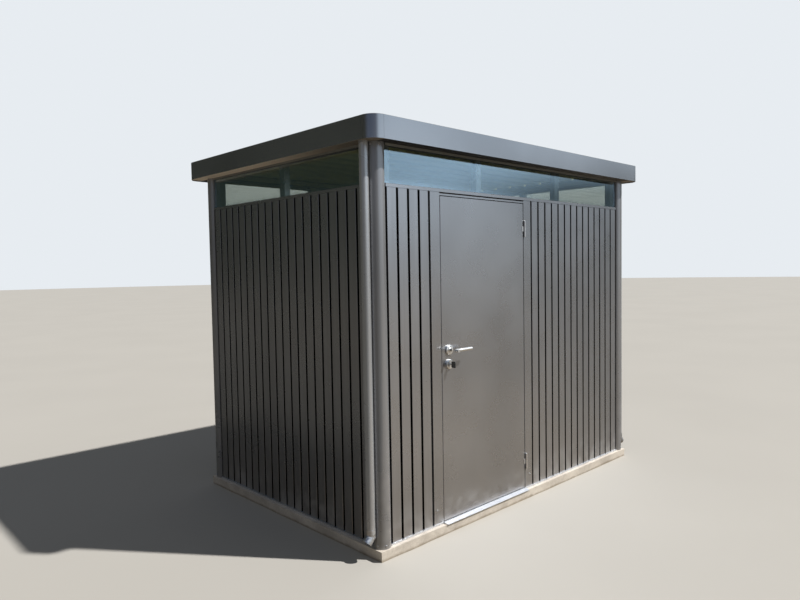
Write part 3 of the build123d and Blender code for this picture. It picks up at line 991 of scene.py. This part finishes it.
@dataclass
class DoorSet:
    """What the door carries or closes on: seals, strike plate, plates, lever, lock and key."""

    finishes: Finishes
    face: float = -FRONT_FACE
    leaf: float = 0.040
    plate_radius: float = 0.028
    plate_height: float = 0.010
    plate_edge: float = 0.0032
    play: float = 0.0002
    neck: float = 0.009
    neck_length: float = 0.058
    lever_length: float = 0.135
    plug_radius: float = 0.0085
    hinge_heights: tuple[float, ...] = (0.240, 1.750)
    barrel_half: float = 0.050
    spindle: Vector = field(default_factory=lambda: joint_place("handle_turn"))
    lock: Vector = field(default_factory=lambda: joint_place("key_turn"))
    hinge: Vector = field(default_factory=lambda: joint_place("door_swing"))

    def build(self) -> None:
        """Build all pieces of the door set."""
        for build in (self.seals, self.strike_plate, self.cover_plates, self.lever,
                      self.lock_parts, self.hinge_caps):
            build()

    def _skin(self, inside: bool) -> tuple[float, float]:
        """Where the leaf's face lies on one side, and the direction away from it."""
        return (self.face + self.leaf, 1.0) if inside else (self.face, -1.0)

    def seals(self) -> None:
        """Rubber strips on the door frame's stops, which also stand in for the shade in the gap round
        the door.
        """
        low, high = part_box("door_leaf")
        near, far = self.face + self.leaf + 0.0006, self.face + self.leaf + 0.0048
        work = Workpiece()
        for x in (low.x + 0.0006, high.x - 0.0086):
            work.block((x, near, low.z + 0.004), (x + 0.008, far, high.z - 0.002), bevel=0.0014)
        work.block((low.x + 0.009, near, high.z - 0.010), (high.x - 0.009, far, high.z - 0.002),
                   bevel=0.0014)
        work.place_in_scene("door_seals", self.finishes["seal_rubber"], "shed")

    def strike_plate(self) -> None:
        """Bright plate on the jamb beside the latch."""
        low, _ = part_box("door_leaf")
        x = low.x - 0.005
        work = Workpiece()
        work.block((x + 0.0002, self.face + 0.006, self.lock.z - 0.06),
                   (x + 0.0014, self.face + 0.030, self.spindle.z + 0.035), bevel=0.0004)
        work.place_in_scene("strike_plate", self.finishes["satin_stainless"], "shed")

    def _cover(self, work: Workpiece, height: float, bore: float, inside: bool) -> None:
        """Turn one cover plate with a soft edge and a fine step at its bore.

        Args:
            work: Where it goes.
            height: Height of its middle.
            bore: Radius of its hole, or nothing.
            inside: True for the room side.
        """
        skin, out = self._skin(inside)
        radius, tall, edge = self.plate_radius, self.plate_height, self.plate_edge
        rim = [(radius - edge + edge * math.cos(turn), tall - edge + edge * math.sin(turn))
               for turn in (math.radians(15 * step) for step in range(7))]
        inner = [(bore + 0.0006, tall), (bore, tall - 0.0006), (bore, 0.0)] if bore else [
            (0.0, tall), (0.0, 0.0)]
        work.turned([(radius, 0.0)] + rim + inner, (self.spindle.x, skin + out * 0.0003, height),
                    (0.0, out, 0.0), 64)

    def cover_plates(self) -> None:
        """Four round plates in place of the plain ones."""
        work = Workpiece()
        for inside in (False, True):
            self._cover(work, self.spindle.z, self.neck + self.play, inside)
            self._cover(work, self.lock.z, 0.0 if inside else self.plug_radius + self.play, inside)
        work.place_in_scene("cover_plates", self.finishes["satin_stainless"], "door",
                            ("rosettes",))

    def _half_lever(self, inside: bool) -> bmesh.types.BMesh:
        """Model one lever from two bars that meet in a mitre, and round its tip.

        Args:
            inside: True for the room side.

        Returns:
            The lever's mesh.
        """
        skin, out = self._skin(inside)
        corner = Vector((self.spindle.x, skin + out * self.neck_length, self.spindle.z))
        tip = corner.x + self.lever_length
        mitre = Vector((1.0, -out, 0.0)).normalized()
        bars = (((corner.x, skin + out * 0.0008, corner.z),
                 (corner.x, corner.y + out * 0.02, corner.z), True),
                ((corner.x - 0.02, corner.y, corner.z), (tip, corner.y, corner.z), False))
        lever = Workpiece()
        for first, last, upper in bars:
            bar = Workpiece()
            bar.rod(first, last, self.neck)
            bar.cut(corner, mitre, upper, not upper)
            lever.absorb(bar.bm, Matrix())
        bmesh.ops.remove_doubles(lever.bm, verts=lever.bm.verts[:], dist=2e-5)
        bmesh.ops.recalc_face_normals(lever.bm, faces=lever.bm.faces[:])
        lever.bevel([edge for edge in lever.bm.edges
                     if all(abs(vert.co.x - tip) < 1e-5 for vert in edge.verts)], 0.004, 5)
        return lever.bm

    def lever(self) -> None:
        """Both levers, and a collar at each neck."""
        collar = [(self.neck + step, along) for step, along in (
            (-0.001, 0.0), (0.0026, 0.0), (0.0030, 0.0006), (0.0030, 0.0050), (0.0022, 0.0060),
            (-0.001, 0.0064))]
        work = Workpiece()
        for inside in (False, True):
            work.absorb(self._half_lever(inside), Matrix())
            skin, out = self._skin(inside)
            base = skin + out * (self.plate_height + 0.0006)
            work.turned(collar, (self.spindle.x, base, self.spindle.z), (0.0, out, 0.0), ROUND)
        work.place_in_scene("lever_handle", self.finishes["satin_stainless"], "handle",
                            ("door_handle",), 24.0)

    @staticmethod
    def _reach(edge: bmesh.types.BMEdge) -> float:
        """How far an edge reaches along X."""
        return abs(edge.verts[0].co.x - edge.verts[1].co.x)

    def lock_parts(self) -> None:
        """Turning plug with its key, and the key's moulded head."""
        x, z = self.lock.x, self.lock.z
        end = self.face - self.plate_height - 0.002
        work = Workpiece()
        work.rod((x, self.face - 0.0006, z), (x, end, z), self.plug_radius, bevel=0.0008)
        work.block((x - 0.00125, end - 0.008, z - 0.004), (x + 0.00125, end + 0.001, z + 0.004),
                   bevel=0.0004)
        work.place_in_scene("lock_cylinder", self.finishes["satin_stainless"], "key",
                            ("lock_plug",))
        head = Workpiece()
        head.block(*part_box("key_bow"))
        head.bevel([edge for edge in head.bm.edges if self._reach(edge) > 0.001], 0.006, 6)
        head.bevel([edge for edge in head.bm.edges if self._reach(edge) < 1e-6], 0.0012, 3)
        cheeks = sorted(head.bm.faces, key=lambda face: -face.calc_area())[:2]
        bmesh.ops.inset_individual(head.bm, faces=cheeks, thickness=0.0040, depth=0.0)
        bmesh.ops.inset_individual(head.bm, faces=cheeks, thickness=0.0006, depth=-0.0009)
        head.place_in_scene("key_head", self.finishes["moulded_plastic"], "key",
                            ("key_bow",))

    def hinge_caps(self) -> None:
        """Domed ends on the hinge barrels."""
        work = Workpiece()
        for middle, end in product(self.hinge_heights, (-1.0, 1.0)):
            work.turned([(0.0, 0.0), (0.0060, 0.0), (0.0056, 0.0012), (0.0040, 0.0024),
                         (0.0018, 0.0030), (0.0, 0.0031)],
                        (self.hinge.x, self.hinge.y, middle + end * self.barrel_half),
                        (0.0, 0.0, end), 24)
        work.place_in_scene("hinge_caps", self.finishes["hinge_paint"], "shed")


@dataclass
class RoofTrim:
    """Dark strips in the seams beside the corner caps, painting the shade of their thin gaps, and
    collars round the gutter's outlets.
    """

    finishes: Finishes
    half_width: float = 1.375
    half_depth: float = 0.975
    corner: float = 0.07515
    low: float = 2.1475
    high: float = 2.2635
    seam_width: float = 0.0011
    seam_depth: float = 0.0026
    outlet: Point = (1.316, -0.836, 2.1570)

    def build(self) -> None:
        """Fill the eight seams and set the two collars."""
        work = Workpiece()
        half_seam = self.seam_width / 2
        # Painted shade: a dark strip in each seam stands for the shade in its gap.
        for x_side, y_side in product((-1, 1), repeat=2):
            x = x_side * (self.half_width - self.corner)
            y = y_side * self.half_depth
            near, far = sorted((y, y - y_side * self.seam_depth))
            work.block((x - half_seam, near, self.low), (x + half_seam, far, self.high))
            x = x_side * self.half_width
            y = y_side * (self.half_depth - self.corner)
            near, far = sorted((x, x - x_side * self.seam_depth))
            work.block((near, y - half_seam, self.low), (far, y + half_seam, self.high))
        work.place_in_scene("corner_seams", self.finishes["seal_rubber"], "shed")
        collars = Workpiece()
        for x_side in (-1, 1):
            collars.turned([(0.0222, 0.0), (0.0300, 0.0), (0.0295, 0.0012), (0.0250, 0.0018),
                            (0.0222, 0.0016)], (x_side * self.outlet[0], *self.outlet[1:]),
                           (0, 0, 1), ROUND)
        collars.place_in_scene("gutter_collars", self.finishes["zinc_spangle"], "shed")


@dataclass
class Studio:
    """Floor, world, sun and the camera of the photograph."""

    finishes: Finishes
    position: Point = (-3.4517, -3.3125, 1.5133)
    yaw: float = 43.78
    pitch: float = -2.85
    roll: float = -0.98
    lens: float = 28.967
    sun_from: Point = (0.4025, -0.5097, 0.7604)
    sun_strength: float = 4.4
    sun_width: float = 1.2
    sun_tone: Colour = (1.0, 0.965, 0.91)
    ambient: float = 0.15
    ambient_tone: Colour = (0.96, 1.0, 1.06)
    backdrop: Colour = (0.80, 0.84, 0.88)
    shade: Colour = (0.030, 0.036, 0.028)
    dusk_low: Colour = (0.150, 0.160, 0.175)
    dusk_high: Colour = (0.085, 0.125, 0.215)
    floor_radius: float = 70.0

    def build(self) -> None:
        """Set the whole stage."""
        bpy.context.scene.view_settings.view_transform = "Standard"
        self.floor()
        self.world()
        self.sun()
        self.camera()

    def floor(self) -> None:
        """Large round pale floor."""
        disc = bmesh.new()
        bmesh.ops.create_circle(disc, cap_ends=True, segments=96, radius=self.floor_radius)
        mesh = mesh_of(disc, "studio_floor")
        mesh.materials.append(self.finishes["pale_floor"])
        floor = bpy.data.objects.new("studio_floor", mesh)
        bpy.context.scene.collection.objects.link(floor)

    def world(self) -> None:
        """Even ambient light, a pale backdrop, and wide bands for metal and glass to mirror."""
        world = bpy.data.worlds.new("studio_world")
        bpy.context.scene.world = world
        world.use_nodes = True
        recipe = Recipe(world.node_tree)
        direction = recipe.node("ShaderNodeTexCoord", output="Generated")
        up, side, ahead = (recipe.component(direction, name) for name in "ZXY")
        bands = recipe.node("ShaderNodeValToRGB", {"stops": [
            (0.0, (0.20, 0.165, 0.12)), (0.49, (0.26, 0.22, 0.17)), (0.51, (0.84, 0.93, 1.00)),
            (0.62, (0.68, 0.84, 1.00)), (1.0, (0.30, 0.50, 0.84))]}, {0: up * 0.5 + 0.5})
        dusk = recipe.lay(up.ramp(0.13, 0.21), self.dusk_low, self.dusk_high)
        left = recipe.lay(side.ramp(-0.46, 0.02, 0.96, 0.0), bands, dusk)
        behind = recipe.lay(ahead.ramp(-0.15, 0.45), left, self.shade)
        right = side.ramp(0.70, 0.86, 0.0, 0.92) * up.ramp(0.10, 0.17, 1.0, 0.0)
        mirrored = recipe.lay(right, behind, self.shade)
        even = tuple(self.ambient * channel for channel in self.ambient_tone)
        seen = recipe.ray("Camera") + recipe.ray("Transmission")
        colour = recipe.lay(recipe.ray("Glossy"), recipe.lay(seen, even, self.backdrop), mirrored)
        light = recipe.node("ShaderNodeBackground", None, {"Color": colour, "Strength": 1.0})
        recipe.node("ShaderNodeOutputWorld", None, {"Surface": light})

    def sun(self) -> None:
        """Key light from the front right."""
        lamp = bpy.data.lights.new("key_light", "SUN")
        lamp.energy = self.sun_strength
        lamp.angle = math.radians(self.sun_width)
        lamp.color = self.sun_tone
        key = bpy.data.objects.new("key_light", lamp)
        key.rotation_euler = Vector(self.sun_from).to_track_quat("Z", "Y").to_euler()
        bpy.context.scene.collection.objects.link(key)

    def camera(self) -> None:
        """Camera at the photograph's place and angle."""
        yaw, pitch, roll = (math.radians(angle) for angle in (self.yaw, self.pitch, self.roll))
        ahead = Vector((math.sin(yaw) * math.cos(pitch), math.cos(yaw) * math.cos(pitch),
                        math.sin(pitch)))
        level = Vector((math.cos(yaw), -math.sin(yaw), 0.0))
        above = level.cross(ahead)
        right = level * math.cos(roll) + above * math.sin(roll)
        up = above * math.cos(roll) - level * math.sin(roll)
        turn = Matrix((right, up, -ahead)).transposed().to_4x4()
        data = bpy.data.cameras.new("photo_camera")
        data.lens = self.lens
        data.sensor_width = 36.0
        camera = bpy.data.objects.new("photo_camera", data)
        camera.matrix_world = Matrix.Translation(self.position) @ turn
        bpy.context.scene.collection.objects.link(camera)
        bpy.context.scene.camera = camera


def main() -> None:
    """Build every sub-assembly in order."""
    logging.basicConfig(level=logging.INFO, format="%(name)s: %(message)s")
    finishes = Finishes()
    finishes.build()
    CadDressing(finishes).dress()
    for assembly in (Plinth(finishes), Fixings(finishes), Glazing(finishes), DoorSet(finishes),
                     RoofTrim(finishes), Studio(finishes)):
        assembly.build()
        log.info("%s built", type(assembly).__name__)


if __name__ == "__main__":
    main()
